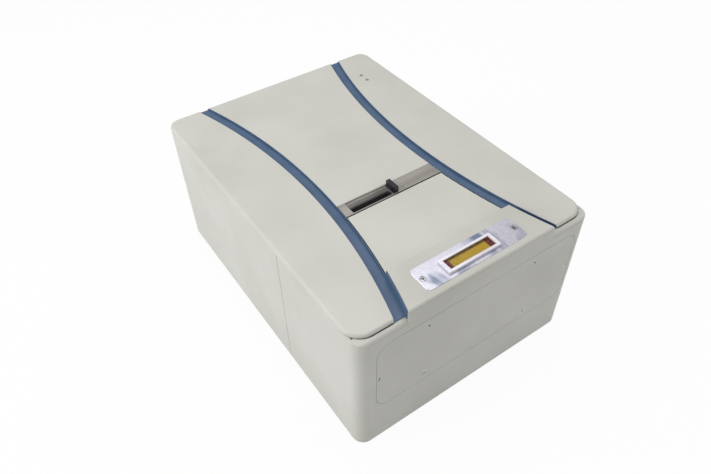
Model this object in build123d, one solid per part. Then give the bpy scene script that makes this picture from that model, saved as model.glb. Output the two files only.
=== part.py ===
from build123d import *
import math
import os

# Bench-top infrared spectrometer with a slot for sample cards in its top.
# Millimetres. +X is right, +Y is back, +Z is up. The origin is on the table, under the middle.

# Body
body_width = 350.0
body_depth = 488.0
corner_radius = 16.0
wall = 3.0
foot_height = 8.0
rim_height = 204.0
ledge_depth = 7.5
ledge_round = 6.0
flange_depth = 16.0
seam_from_front = 168.0
seam_gap = 0.4
lip_length = 8.0
lip_sheet = 2.0
lip_fit = 0.2
lip_bite = 1.0

# Top cover and its two curved channels
cover_rise = 5.0
cover_skin = 3.0
cover_round = 4.0
cover_front_radius = 24.0
channel_waist = 87.4
channel_width = 15.3
channel_arc = 800.0
channel_wall = 2.5
channel_floor = 2.5
shelf = 6.0
edge_break = 0.8
fine_break = 0.3
trim_sheet = 0.8
trim_floor = 1.2
trim_fit = 0.1
trim_drop = 0.4

# Front centre panel
panel_side_gap = 1.2
panel_rear_gap = 1.6
panel_front_gap = 0.8

# Display deck
deck_rise = 10.0
deck_depth = 61.5
deck_round = 4.0
deck_fit = 0.2
display_plate_width = 150.0
display_plate_depth = 36.5
display_plate_radius = 6.0
display_plate_sheet = 1.5
display_plate_inlay = 1.0
display_plate_from_front = 28.2
display_screw_spacing = 137.0
bezel_centre_x = -2.0
bezel_from_front = 26.5
bezel_width = 77.5
bezel_depth = 22.5
bezel_rise = 4.0
bezel_radius = 1.5
bezel_flange = 1.5
window_width = 68.5
window_depth = 15.2
window_sink = 1.7
window_sheet = 1.5
window_fit = 0.2
glass_sheet = 2.0
display_board_width = 80.0
display_board_depth = 36.0
board_sheet = 1.6

# Slot, shutter and sample well
slot_from_front = 178.8
slot_plate_depth = 22.8
slot_end_gap = 0.4
slot_rear_gap = 0.3
slot_plate_sheet = 1.5
opening_length = 70.4
opening_right = 6.9
opening_depth = 20.0
opening_radius = 1.5
shutter_sheet = 1.0
shutter_depth = 21.2
shutter_fit = 0.1
shutter_float = 0.15
rail_depth = 18.8
tab_thickness = 6.0
tab_depth = 19.0
tab_rise = 9.0
tab_gap = 0.4
tab_bevel = 1.2
rivet_from_opening = 13.6
rivet_from_edge = 4.2
rivet_head = 1.5
rivet_shank = 0.8
well_wall = 1.2
well_floor = 2.0
well_corner = 5.0
beam_port_radius = 8.0
card_width = 50.8
card_height = 76.2
card_fit = 0.4
guide_wall = 3.0
guide_slot = 4.8
guide_height = 40.0

# Front access panel
panel_width = 308.0
panel_height = 118.0
panel_bottom = 68.0
panel_centre_x = 3.5
panel_corner = 20.0
panel_sheet = 2.0
panel_fit = 0.4
panel_ring = 3.0
panel_land = 9.0
panel_screw_edge = 4.0
panel_screw_x = 82.5
panel_screw_z = 46.3

# Fasteners and feet
small_head = 3.0
small_shank = 1.5
small_length = 7.0
plate_screw_length = 3.0
large_head = 4.0
large_shank = 2.0
large_length = 9.0
screw_fit = 0.05
cross_width = 0.9
cross_depth = 1.0
cross_reach = 0.7
head_round = 0.6
foot_radius = 11.0
foot_inset_x = 35.0
foot_inset_y = 39.0
foot_recess = 5.0
foot_recess_radius = 5.0
foot_bevel = 1.0
base_sheet = 2.5
base_fit = 0.3
boss_radius = 5.5
boss_height = 40.0
boss_bite = 1.0
boss_from_end = 60.0
boss_from_seam = 25.0

# Status lights
light_radius = 2.6
light_rise = 0.6
light_round = 0.5
light_x = 129.0
light_y = 174.6
light_spacing = 16.0
light_fit = 0.1
light_board_width = 14.0
light_board_length = 34.0
light_board_drop = 3.4
light_post_radius = 2.5
light_post_inset = 3.0

# Rear connector panel
rear_opening_width = 230.0
rear_opening_height = 50.0
rear_opening_x = 20.0
rear_opening_z = 53.0
rear_opening_radius = 4.0
rear_panel_lap = 8.0
rear_panel_sheet = 2.0
rear_fit = 0.1
inlet_x = 95.0
inlet_width = 27.0
inlet_height = 20.0
inlet_length = 19.0
inlet_flange_x = 40.0
inlet_flange_z = 26.0
inlet_flange = 1.5
inlet_flange_radius = 3.0
socket_width = 24.0
socket_height = 16.0
socket_bevel = 4.0
socket_length = 16.0
pin_pitch = 7.0
pin_offset = 2.0
pin_width = 2.0
pin_height = 4.0
pin_length = 13.0
switch_x = 52.0
switch_width = 15.0
switch_height = 22.0
switch_flange = 1.5
switch_lap = 1.5
switch_length = 17.0
switch_back = 3.0
rocker_width = 11.0
rocker_radius = 9.2
rocker_spread = 60.0
rocker_tilt = 12.0
rocker_waist = 3.0
rocker_fit = 0.3
rocker_sink = 6.4
rocker_pin = 1.25
rocker_pin_fit = 0.06
rocker_pin_length = 1.3
usb_x = -60.0
usb_width = 12.0
usb_height = 11.0
usb_length = 16.0
usb_wall = 1.0
usb_back = 4.0
usb_proud = 0.5
usb_tongue_width = 5.4
usb_tongue_height = 2.8
usb_tongue_sink = 2.0
vent_count = 16
vent_pitch = 8.0
vent_width = 3.0
vent_height = 26.0
vent_x = 20.0
vent_z = 128.0

# Optical bench, carried on posts above the electronics
bench_width = 300.0
bench_depth = 450.0
bench_bottom = 96.0
bench_height = 12.0
bench_rib = 6.0
bench_skin = 5.0
bench_columns = 3
bench_rows = 4
bench_corner = 12.0
post_x = 120.0
post_y = 190.0
post_radius = 7.0
isolator_radius = 12.0
isolator_height = 12.0
isolator_groove = 2.0

# Optics. The beam runs level, through the middle of a card that stands in the well.
arm_y = 20.0
splitter_x = 40.0
mirror_radius = 19.0
mirror_thickness = 16.0
mirror_sphere = 150.0
mirror_sag = 1.2
stem_radius = 7.0
stem_bite = 3.0
stem_foot_radius = 15.0
stem_foot_height = 6.0
splitter_radius = 20.0
splitter_sheet = 5.0
splitter_ring = 26.0
splitter_seat = 18.0
splitter_ring_sheet = 10.0
fixed_mirror_gap = 52.0
plane_mirror_radius = 15.0
plane_mirror_sheet = 8.0
mount_plate = 44.0
mount_sheet = 6.0
mount_gap = 6.0
adjuster_radius = 2.5
adjuster_length = 24.0
adjuster_spread = 15.4
moving_mirror_gap = 44.0
mirror_travel = 4.0
upright_sheet = 8.0
upright_width = 24.0
upright_top = 16.0
carriage_length = 20.0
carriage_height = 12.0
carriage_lift = 1.0
carriage_gap = 0.15
rail_drop = 33.0
rail_width = 12.0
rail_height = 7.0
rail_margin = 4.0
pedestal_width = 20.0
coil_radius = 12.4
coil_wall = 1.4
coil_length = 28.0
magnet_radius = 17.0
magnet_core = 9.5
magnet_bore = 14.0
magnet_length = 34.0
magnet_base = 6.0
magnet_lap = 16.0
magnet_stand = 18.0
magnet_stand_drop = 15.0
source_x = -40.0
source_y = 150.0
source_width = 50.0
source_depth = 40.0
source_top = 26.0
source_bore = 10.0
source_bore_length = 35.0
fin_count = 6
fin_length = 13.0
fin_gap = 3.4
element_radius = 2.5
element_length = 17.0
element_base = 8.0
element_base_sheet = 3.0
laser_y = 85.0
laser_start = -145.0
laser_radius = 13.0
laser_length = 105.0
laser_bevel = 1.5
laser_eye = 3.0
laser_eye_depth = 6.0
laser_fit = 0.1
clamp_width = 38.0
clamp_sheet = 14.0
clamp_cap = 6.0
clamp_spacing = 60.0
fold_radius = 5.0
fold_sheet = 3.0
fold_stem = 2.5
laser_detector_x = 4.0
laser_detector_size = 8.0
laser_detector_eye = 2.5
laser_detector_eye_length = 3.0
detector_mirror_y = -150.0
detector_x = 32.0
detector_radius = 14.0
detector_length = 28.0
detector_window = 6.0
detector_window_depth = 2.0
detector_box_x = 50.0
detector_box_y = 40.0
detector_box_z = 42.0
detector_neck = 16.0
desiccant_x = 112.0
desiccant_y = -168.0
desiccant_radius = 28.0
desiccant_height = 80.0
desiccant_cap = 8.0
desiccant_cap_lap = 2.0
desiccant_holes = 8
desiccant_hole_radius = 2.5
desiccant_hole_circle = 17.0

# Electronics on the base plate
supply_x = 66.0
supply_y = 134.0
supply_width = 72.0
supply_length = 150.0
supply_height = 44.0
supply_slots = 8
supply_slot_width = 4.0
supply_slot_margin = 12.0
supply_sheet = 2.0
laser_supply_x = -128.0
laser_supply_y = 60.0
laser_supply_width = 40.0
laser_supply_length = 130.0
laser_supply_height = 46.0
laser_supply_bevel = 2.0
main_board_x = -40.0
main_board_y = -60.0
main_board_width = 130.0
main_board_length = 200.0
standoff_height = 8.0
standoff_radius = 3.5
standoff_inset = 6.0
sink_across = 0.78
sink_along = 0.72
sink_width = 28.0
sink_length = 30.0
sink_base = 3.0
sink_height = 18.0
sink_fins = 6
sink_fin_sheet = 2.0

# Chips and sockets on the main board: shares of its width and length, then width, length, height
board_blocks = [
    (0.50, 0.50, 30.0, 30.0, 3.0),
    (0.22, 0.30, 14.0, 20.0, 2.0),
    (0.78, 0.30, 14.0, 20.0, 2.0),
    (0.22, 0.72, 20.0, 14.0, 2.0),
    (0.50, 0.94, 60.0, 9.0, 11.0),
    (0.50, 0.06, 44.0, 9.0, 9.0),
]

# Levels and lines that follow from the sizes above
half_width = body_width / 2
front_y = -body_depth / 2
rear_y = body_depth / 2
body_bottom = foot_height
rim_z = body_bottom + rim_height
cover_z = rim_z + cover_rise
deck_z = cover_z + deck_rise
base_top = body_bottom + base_sheet
seam_y = front_y + seam_from_front
cover_front = front_y + ledge_depth
flange_back = front_y + flange_depth
deck_back = front_y + deck_depth
deck_foot = rim_z + deck_fit
arc_centre = channel_waist + channel_arc
inner_arc = channel_arc + channel_width
slot_y = front_y + slot_from_front
slot_front = slot_y - slot_plate_depth / 2
slot_back = slot_y + slot_plate_depth / 2
opening_left = opening_right - opening_length
opening_x = (opening_left + opening_right) / 2
frame_top = cover_z - slot_plate_sheet
groove_z = frame_top - shutter_sheet - 2 * shutter_float
tab_left = opening_right - tab_gap - tab_thickness
card_floor = groove_z - card_fit - card_height
well_bottom = card_floor - well_floor
panel_z = body_bottom + panel_bottom + panel_height / 2
display_y = front_y + display_plate_from_front
bezel_y = front_y + bezel_from_front
plate_top = deck_z + display_plate_sheet - display_plate_inlay
plate_bottom = deck_z - display_plate_inlay
bezel_top = deck_z + bezel_rise
pane_top = bezel_top - window_sink
glass_top = pane_top - window_sheet
glass_bottom = glass_top - glass_sheet
light_foot = cover_z - cover_skin - light_board_drop
bench_top = bench_bottom + bench_height
beam_z = card_floor + card_height / 2
rear_inner = rear_y - wall
rocker_y = rear_y - rocker_sink
rail_top = beam_z - rail_drop
moving_mirror_x = splitter_x + moving_mirror_gap
upright_x = moving_mirror_x + plane_mirror_sheet
carriage_x = upright_x + upright_sheet / 2 - carriage_length / 2
fixed_mirror_y = arm_y - fixed_mirror_gap


def box(x0, x1, y0, y1, z0, z1):
    """A block between two corners, in whichever order they come."""
    middle = Pos((x0 + x1) / 2, (y0 + y1) / 2, (z0 + z1) / 2)
    return middle * Box(abs(x1 - x0), abs(y1 - y0), abs(z1 - z0))


def post(x, y, radius, z0, z1):
    return Pos(x, y, (z0 + z1) / 2) * Cylinder(radius, z1 - z0)


def rod(start, direction, radius, length):
    """A cylinder that starts at a point and runs along a direction."""
    place = Plane(origin=start, z_dir=direction).location
    return place * Pos(0, 0, length / 2) * Cylinder(radius, length)


def field(x0, x1, y0, y1):
    """A rectangle in plan view."""
    return Pos((x0 + x1) / 2, (y0 + y1) / 2) * Rectangle(x1 - x0, y1 - y0)


def across(y0, y1):
    """A rectangle in plan view, as wide as the body."""
    return field(-half_width, half_width, y0, y1)


def slab(face, z0, z1):
    return extrude(Pos(0, 0, z0) * face, amount=z1 - z0, dir=(0, 0, 1))


def upright_slab(face, y0, y1):
    """A face drawn as (x, z), made solid between two distances from front to back."""
    plane = Plane(origin=(0, y1, 0), x_dir=(1, 0, 0), z_dir=(0, -1, 0))
    return extrude(plane * face, amount=y1 - y0, dir=(0, -1, 0))


def side_block(y0, y1, z0, z1, front_round):
    """A block across the full width whose upper front edge is round."""
    face = Pos((y0 + y1) / 2, (z0 + z1) / 2) * Rectangle(y1 - y0, z1 - z0)
    corner = face.vertices().sort_by(Axis.X)[:2].sort_by(Axis.Y)[-1]
    face = fillet(corner, front_round)
    return extrude(Plane.YZ.offset(-half_width) * face, amount=body_width)


def body_field(inset):
    return RectangleRounded(body_width - 2 * inset, body_depth - 2 * inset, corner_radius - inset)


def cover_field(inset):
    """The cover's outline in plan: flush with the body at its sides and back, held back in front."""
    face = field(-half_width + inset, half_width - inset, cover_front + inset, rear_y - inset)
    face = fillet(face.vertices().sort_by(Axis.Y)[:2], cover_front_radius - inset)
    return fillet(face.vertices().sort_by(Axis.Y)[-2:], corner_radius - inset)


def disc(side, radius):
    """The large circle that a channel edge on one side is part of."""
    return Pos(side * arc_centre, 0) * Circle(radius)


def band(side, inner, outer):
    return disc(side, outer) - disc(side, inner)


def centre_field(inset, y0, y1):
    """The plan area between the two channels."""
    return across(y0, y1) - disc(-1, inner_arc + inset) - disc(1, inner_arc + inset)


def cross_recess(head):
    """The cross cut into a screw head, below z = 0."""
    slot = Pos(0, 0, -cross_depth / 2) * Box(2 * cross_reach * head, cross_width, cross_depth)
    return slot + Rot(0, 0, 90) * slot


def countersunk(head, shank, length):
    """Countersunk screw that hangs below z = 0."""
    depth = head - shank
    cone = Pos(0, 0, -depth / 2) * Cone(shank, head, depth)
    return cone + Pos(0, 0, -length / 2) * Cylinder(shank, length)


def countersunk_hole(head, shank, length):
    """The space that a countersunk screw needs, with its fit."""
    return countersunk(head + screw_fit, shank + screw_fit, length + screw_fit)


def cross_screw(length):
    return countersunk(small_head, small_shank, length) - cross_recess(small_head)


def pan_screw(head, shank, length):
    """Pan-head screw: its head sits under z = 0 and its shank runs up."""
    cap = Pos(0, 0, -shank / 2) * Cylinder(head, shank)
    cap = fillet(cap.edges().sort_by(Axis.Z)[0], shank * head_round)
    cap -= Pos(0, 0, cross_depth - shank) * cross_recess(head)
    return cap + Pos(0, 0, length / 2) * Cylinder(shank, length)


def facing_front(x, z):
    """Places a thing that points up so that it points out of the front."""
    return Plane(origin=(x, front_y, z), x_dir=(1, 0, 0), z_dir=(0, -1, 0)).location


def facing_rear(x, z):
    return Plane(origin=(x, rear_y, z), x_dir=(-1, 0, 0), z_dir=(0, 1, 0)).location


def base_screw_places():
    x = half_width - wall - boss_radius + boss_bite
    rows = [front_y + boss_from_end, seam_y - boss_from_seam]
    rows += [seam_y + boss_from_seam, rear_y - boss_from_end]
    return [(side * x, y) for y in rows for side in (-1, 1)]


def panel_screw_places():
    side = panel_width / 2 - panel_screw_edge
    places = [(sx * panel_screw_x, sz * panel_screw_z) for sx in (-1, 1) for sz in (-1, 1)]
    places += [(-side, 0.0), (side, 0.0)]
    return [(panel_centre_x + x, panel_z + z) for x, z in places]


def display_screw_places():
    return [Pos(side * display_screw_spacing / 2, display_y, plate_top) for side in (-1, 1)]


def rear_screw_places():
    x = rear_opening_width / 2 + rear_panel_lap / 2
    z = rear_opening_height / 2 - rear_panel_lap
    return [(rear_opening_x + sx * x, rear_opening_z + sz * z) for sx in (-1, 1) for sz in (-1, 1)]


def foot_places():
    x = half_width - foot_inset_x
    y = body_depth / 2 - foot_inset_y
    return [(sx * x, sy * y) for sx in (-1, 1) for sy in (-1, 1)]


def bench_post_places():
    return [(sx * post_x, sy * post_y) for sx in (-1, 1) for sy in (-1, 1)]


def light_places():
    return [(light_x, light_y + side * light_spacing / 2) for side in (-1, 1)]


def bosses(y0, y1):
    """Screw posts along the side walls between two distances, open below for the screws."""
    made = Part()
    for x, y in base_screw_places():
        if y0 < y < y1:
            hole = post(x, y, small_shank + screw_fit, base_top, base_top + small_length)
            made += post(x, y, boss_radius, base_top, base_top + boss_height) - hole
    return made


def deck_solid():
    """The raised display deck, with a round front edge and a lightly broken rear edge."""
    face = centre_field(deck_fit, front_y, deck_back)
    deck = side_block(front_y, deck_back, deck_foot, deck_z, deck_round) & slab(face, deck_foot, deck_z)
    rear = deck.edges().filter_by(Axis.X).group_by(Axis.Y)[-1]
    return fillet(rear.sort_by(Axis.Z)[-1], edge_break)


def access_panel_face(grow):
    """The access panel's outline as (x, z), grown or shrunk on every side."""
    width = panel_width + 2 * grow
    height = panel_height + 2 * grow
    return Pos(panel_centre_x, panel_z) * RectangleRounded(width, height, panel_corner + grow)


def front_housing():
    """Front wall, front halves of the sides and the display deck, in one piece."""
    side = seam_y - seam_gap / 2
    outline = body_field(0) & across(front_y, side)
    shell = side_block(front_y, side, body_bottom, rim_z, ledge_round) & slab(outline, body_bottom, rim_z)
    inside = body_field(wall) & across(front_y, side)
    shell -= slab(inside, body_bottom, rim_z - wall)
    shell -= slab(inside & across(flange_back, side), body_bottom, rim_z)
    shell += deck_solid()
    shell += slab(centre_field(deck_fit, front_y, flange_back), rim_z - ledge_round, deck_foot)
    hood = centre_field(deck_fit + wall, front_y + wall, deck_back - wall)
    shell -= slab(hood, panel_z, deck_z - wall)
    ring = upright_slab(access_panel_face(wall), front_y + wall, front_y + wall + panel_ring)
    shell += ring & slab(inside, body_bottom, rim_z)
    shell -= upright_slab(access_panel_face(-panel_land), front_y, front_y + wall + panel_ring)
    shell -= upright_slab(access_panel_face(panel_fit), front_y, front_y + panel_sheet)
    for x, z in panel_screw_places():
        shell -= facing_front(x, z) * countersunk_hole(small_head, small_shank, small_length)
    inlay = RectangleRounded(display_plate_width, display_plate_depth, display_plate_radius)
    shell -= slab(Pos(0, display_y) * inlay, plate_bottom, deck_z)
    shell -= slab(collar_face(0), deck_z - wall, deck_z)
    for place in display_screw_places():
        shell -= place * countersunk_hole(small_head, small_shank, plate_screw_length)
    return shell + bosses(front_y, seam_y)


def rear_housing():
    """Rear halves of the sides and the rear wall, with a lip that laps behind the front housing."""
    side = seam_y + seam_gap / 2
    outline = body_field(0) & across(side, rear_y)
    inside = body_field(wall) & across(side, rear_y)
    shell = slab(outline, body_bottom, rim_z) - slab(inside, body_bottom, rim_z)
    outer = half_width - wall - lip_fit
    inner = outer - lip_sheet
    edge = seam_y + lip_length
    top = rim_z - channel_floor - lip_fit
    for sx in (-1, 1):
        shell += box(sx * inner, sx * outer, seam_y - lip_length, edge, base_top, top)
        shell += box(sx * inner, sx * (half_width - wall + lip_bite), side, edge, base_top, top)
    hole = RectangleRounded(rear_opening_width, rear_opening_height, rear_opening_radius)
    shell -= upright_slab(Pos(rear_opening_x, rear_opening_z) * hole, rear_inner, rear_y)
    for i in range(vent_count):
        x = vent_x + (i - (vent_count - 1) / 2) * vent_pitch
        vent = SlotOverall(vent_height, vent_width, rotation=90)
        shell -= upright_slab(Pos(x, vent_z) * vent, rear_inner, rear_y)
    for x, z in rear_screw_places():
        shell -= facing_rear(x, z) * countersunk_hole(small_head, small_shank, small_length)
    return shell + bosses(seam_y, rear_y)


def base_plate():
    plate = slab(body_field(wall + base_fit), body_bottom, base_top)
    for x, y in base_screw_places():
        plate -= post(x, y, small_shank + screw_fit, body_bottom, base_top)
    for x, y in foot_places():
        plate -= post(x, y, large_shank + screw_fit, body_bottom, base_top)
    return plate


def base_screws():
    screw = pan_screw(small_head, small_shank, small_length)
    return [Pos(x, y, body_bottom) * screw for x, y in base_screw_places()]


def rubber_feet():
    feet = []
    for x, y in foot_places():
        foot = post(x, y, foot_radius, 0, foot_height)
        foot = chamfer(foot.edges().sort_by(Axis.Z)[0], foot_bevel)
        foot -= post(x, y, foot_recess_radius, 0, foot_recess)
        feet.append(foot - post(x, y, large_shank + screw_fit, 0, foot_height))
    return feet


def foot_screws():
    screw = pan_screw(large_head, large_shank, large_length)
    return [Pos(x, y, foot_recess) * screw for x, y in foot_places()]


def cover_block():
    block = slab(cover_field(0), rim_z, cover_z)
    return fillet(block.faces().sort_by(Axis.Z)[-1].edges(), cover_round)


def top_cover():
    """Side wings and rear field in one piece, joined under the two channels."""
    cover = cover_block()
    skin_bottom = cover_z - cover_skin
    for side in (-1, 1):
        cover -= slab(band(side, channel_arc, inner_arc), rim_z, cover_z)
        cover -= slab(cover_field(wall) & disc(side, channel_arc - channel_wall), rim_z, skin_bottom)
    cover -= slab(centre_field(0, front_y, slot_back + slot_rear_gap), rim_z, cover_z)
    rim_y = slot_back + slot_rear_gap + channel_wall
    cover -= slab(cover_field(wall) & centre_field(channel_wall, rim_y, rear_y), rim_z, skin_bottom)
    inside = body_field(wall + base_fit) & across(flange_back + base_fit, rear_y)
    for side in (-1, 1):
        floor = inside & band(side, channel_arc - channel_wall, inner_arc + shelf)
        cover += slab(floor, rim_z - channel_floor, rim_z)
        y = light_y + side * (light_board_length / 2 - light_post_inset)
        cover += post(light_x, y, light_post_radius, light_foot, skin_bottom)
    for x, y in light_places():
        cover -= post(x, y, light_radius + light_fit, light_foot, cover_z)
    return cover


def trim_strip(side):
    """Thin painted channel lining: a floor, low side walls and a tall wall beside the deck."""
    length = across(cover_front + trim_fit, rear_y - trim_fit)
    first = channel_arc + trim_fit
    last = inner_arc - trim_fit
    strip = slab(length & band(side, first, last), rim_z, rim_z + trim_floor)
    strip += slab(length & band(side, first, first + trim_sheet), rim_z, cover_z)
    strip += slab(length & band(side, last - trim_sheet, last), rim_z, cover_z)
    strip = strip & (Pos(0, 0, -trim_drop) * cover_block())
    beside_deck = across(front_y + deck_round, deck_back) & band(side, last - trim_sheet, last)
    return strip + slab(beside_deck, rim_z, deck_z - edge_break)


def front_centre_panel():
    """Separate field of the top between the display deck and the slot."""
    y0 = deck_back + panel_front_gap
    y1 = slot_front - panel_rear_gap
    lid = slab(centre_field(panel_side_gap, y0, y1), rim_z, cover_z)
    lid = fillet(lid.faces().sort_by(Axis.Z)[-1].edges(), edge_break)
    rim = channel_wall
    pocket = centre_field(panel_side_gap + rim, y0 + rim, y1 - rim)
    return lid - slab(pocket, rim_z, cover_z - cover_skin)


def slot_opening(grow, depth, radius):
    face = RectangleRounded(opening_length + 2 * grow, depth + 2 * grow, radius + grow)
    return Pos(opening_x, slot_y) * face


def rivet_place():
    return Pos(opening_right + rivet_from_opening, slot_front + rivet_from_edge, cover_z)


def slot_bezel_plate():
    plate = slab(centre_field(slot_end_gap, slot_front, slot_back), frame_top, cover_z)
    plate -= slab(slot_opening(0, opening_depth, opening_radius), frame_top, cover_z)
    return plate - rivet_place() * countersunk_hole(rivet_head, rivet_shank, slot_plate_sheet)


def bezel_rivet():
    return rivet_place() * countersunk(rivet_head, rivet_shank, slot_plate_sheet)


def slot_frame():
    """Bar under the bezel plate: it carries the plate, guides the shutter and opens into the well."""
    frame = slab(centre_field(slot_end_gap, slot_front, slot_back), rim_z, frame_top)
    reach = tab_left + opening_length + tab_gap
    half = shutter_depth / 2 + shutter_fit
    frame -= slab(field(-reach, reach, slot_y - half, slot_y + half), groove_z, frame_top)
    return frame - slab(slot_opening(0, rail_depth, opening_radius), rim_z, groove_z)


def shutter():
    """Sliding dust shutter with a finger tab that stands up through the opening."""
    z0 = groove_z + shutter_float
    y0 = slot_y - shutter_depth / 2
    leaf = box(tab_left, tab_left + opening_length, y0, y0 + shutter_depth, z0, z0 + shutter_sheet)
    y1 = slot_y - tab_depth / 2
    tab = box(tab_left, tab_left + tab_thickness, y1, y1 + tab_depth, z0, cover_z + tab_rise)
    return leaf + chamfer(tab.faces().sort_by(Axis.Z)[-1].edges(), tab_bevel)


def sample_well():
    """Open-topped metal box under the slot, with a port for the beam in each long wall."""
    well = slab(slot_opening(well_wall, opening_depth, well_corner), well_bottom, rim_z)
    well -= slab(slot_opening(0, opening_depth, well_corner), card_floor, rim_z)
    start = (opening_x, slot_y + opening_depth, beam_z)
    return well - rod(start, (0, -1, 0), beam_port_radius, 2 * opening_depth)


def card_guides():
    """Two upright channels that hold a sample card across the beam."""
    made = []
    half = guide_slot / 2
    y0 = slot_y - half - guide_wall
    y1 = slot_y + half + guide_wall
    top = card_floor + guide_height
    for side in (-1, 1):
        inner = opening_x + side * (card_width / 2 - guide_wall)
        outer = opening_x + side * (card_width / 2 + guide_wall)
        edge = opening_x + side * (card_width / 2 + card_fit)
        guide = box(inner, outer, y0, y1, card_floor, top)
        made.append(guide - box(inner, edge, slot_y - half, slot_y + half, card_floor, top))
    return made


def front_access_panel():
    panel = upright_slab(access_panel_face(0), front_y, front_y + panel_sheet)
    for x, z in panel_screw_places():
        panel -= facing_front(x, z) * countersunk_hole(small_head, small_shank, small_length)
    return panel


def access_panel_screws():
    return [facing_front(x, z) * cross_screw(small_length) for x, z in panel_screw_places()]


def collar_face(gap):
    """The part of the display bezel that passes through the plate and the deck."""
    width = bezel_width - 2 * bezel_flange - 2 * gap
    depth = bezel_depth - 2 * bezel_flange - 2 * gap
    return Pos(bezel_centre_x, bezel_y) * Rectangle(width, depth)


def window_face(gap):
    return Pos(bezel_centre_x, bezel_y) * Rectangle(window_width - 2 * gap, window_depth - 2 * gap)


def display_plate():
    """Polished plate let into the deck, a little proud of it."""
    face = RectangleRounded(display_plate_width, display_plate_depth, display_plate_radius)
    plate = slab(Pos(0, display_y) * face, plate_bottom, plate_top)
    plate = chamfer(plate.faces().sort_by(Axis.Z)[-1].edges(), fine_break)
    plate -= slab(collar_face(0), plate_bottom, plate_top)
    for place in display_screw_places():
        plate -= place * countersunk_hole(small_head, small_shank, plate_screw_length)
    return plate


def display_plate_screws():
    return [place * cross_screw(plate_screw_length) for place in display_screw_places()]


def display_bezel():
    """White frame: a flange that lies on the plate and a collar that passes through the deck."""
    face = Pos(bezel_centre_x, bezel_y) * RectangleRounded(bezel_width, bezel_depth, bezel_radius)
    frame = slab(face, plate_top, bezel_top)
    frame = fillet(frame.faces().sort_by(Axis.Z)[-1].edges(), edge_break)
    frame += slab(collar_face(window_fit), deck_z - wall, plate_top)
    return frame - slab(window_face(0), deck_z - wall, bezel_top)


def display_window():
    return slab(window_face(window_fit), pane_top - window_sheet, pane_top)


def display_glass():
    return slab(window_face(window_fit), glass_bottom, glass_top)


def display_board():
    """Circuit board under the deck, with the block that holds the display glass up to its window."""
    board = Pos(bezel_centre_x, display_y) * Rectangle(display_board_width, display_board_depth)
    holder = slab(window_face(window_fit), deck_z - wall, glass_bottom)
    return holder + slab(board, deck_z - wall - board_sheet, deck_z - wall)


def status_lights():
    made = []
    for x, y in light_places():
        body = post(x, y, light_radius, light_foot, cover_z + light_rise)
        made.append(fillet(body.edges().sort_by(Axis.Z)[-1], light_round))
    return made


def status_board():
    face = Pos(light_x, light_y) * Rectangle(light_board_width, light_board_length)
    return slab(face, light_foot - board_sheet, light_foot)


def rear_face(x, width, height):
    return Pos(x, rear_opening_z) * Rectangle(width, height)


def rear_panel():
    """Connector panel behind the opening in the rear wall."""
    width = rear_opening_width + 2 * rear_panel_lap
    height = rear_opening_height + 2 * rear_panel_lap
    outer = rear_inner
    inner = outer - rear_panel_sheet
    fit = 2 * rear_fit
    panel = upright_slab(rear_face(rear_opening_x, width, height), inner, outer)
    panel -= upright_slab(rear_face(inlet_x, inlet_width + fit, inlet_height + fit), inner, outer)
    panel -= upright_slab(rear_face(switch_x, switch_width + fit, switch_height + fit), inner, outer)
    panel -= upright_slab(rear_face(usb_x, usb_width + fit, usb_height + fit), inner, outer)
    for x, z in rear_screw_places():
        panel -= facing_rear(x, z) * countersunk_hole(small_head, small_shank, small_length)
    return panel


def rear_panel_screws():
    return [facing_rear(x, z) * cross_screw(small_length) for x, z in rear_screw_places()]


def power_inlet():
    """Mains inlet: a flange on the panel, a body behind it and a socket with two cut corners."""
    front = rear_inner + inlet_flange
    flange = RectangleRounded(inlet_flange_x, inlet_flange_z, inlet_flange_radius)
    inlet = upright_slab(Pos(inlet_x, rear_opening_z) * flange, rear_inner, front)
    body = rear_face(inlet_x, inlet_width, inlet_height)
    inlet += upright_slab(body, rear_inner - inlet_length, rear_inner)
    socket = Rectangle(socket_width, socket_height)
    socket = chamfer(socket.vertices().sort_by(Axis.Y)[-2:], socket_bevel)
    return inlet - upright_slab(Pos(inlet_x, rear_opening_z) * socket, front - socket_length, front)


def inlet_pins():
    made = []
    y0 = rear_inner + inlet_flange - socket_length
    for i in (-1, 0, 1):
        z = rear_opening_z + (pin_offset if i == 0 else -pin_offset)
        face = Pos(inlet_x + i * pin_pitch, z) * Rectangle(pin_width, pin_height)
        made.append(upright_slab(face, y0, y0 + pin_length))
    return made


def switch_frame():
    """Frame of the rocker switch: a flange on the panel and a closed box behind it."""
    lap = 2 * switch_lap
    front = rear_inner + switch_flange
    frame = upright_slab(rear_face(switch_x, switch_width + lap, switch_height + lap), rear_inner, front)
    back = rear_inner - switch_length
    frame += upright_slab(rear_face(switch_x, switch_width, switch_height), back, rear_inner)
    space_x = rocker_width + 2 * rocker_fit
    space_z = 2 * (rocker_radius + rocker_fit)
    frame -= upright_slab(rear_face(switch_x, space_x, space_z), back + switch_back, front)
    start = (switch_x - switch_width / 2, rocker_y, rear_opening_z)
    return frame - rod(start, (1, 0, 0), rocker_pin + rocker_pin_fit, switch_width)


def switch_rocker():
    """Rocker with a shallow V face, tilted to one side, on its two pivot stubs."""
    tip = rocker_radius * math.sin(math.radians(rocker_spread))
    edge = rocker_radius * math.cos(math.radians(rocker_spread))
    front = [(edge, -tip), (rocker_waist, 0), (edge, tip)]
    outline = Polyline(*front, (0, tip), (-rocker_waist, 0), (0, -tip), close=True)
    plane = Plane(origin=(-rocker_width / 2, 0, 0), x_dir=(0, 1, 0), z_dir=(1, 0, 0))
    key = extrude(plane * make_face(outline), amount=rocker_width, dir=(1, 0, 0))
    reach = rocker_width / 2 + rocker_pin_length
    key += rod((-reach, 0, 0), (1, 0, 0), rocker_pin, 2 * reach)
    return Pos(switch_x, rocker_y, rear_opening_z) * Rot(-rocker_tilt, 0, 0) * key


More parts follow.
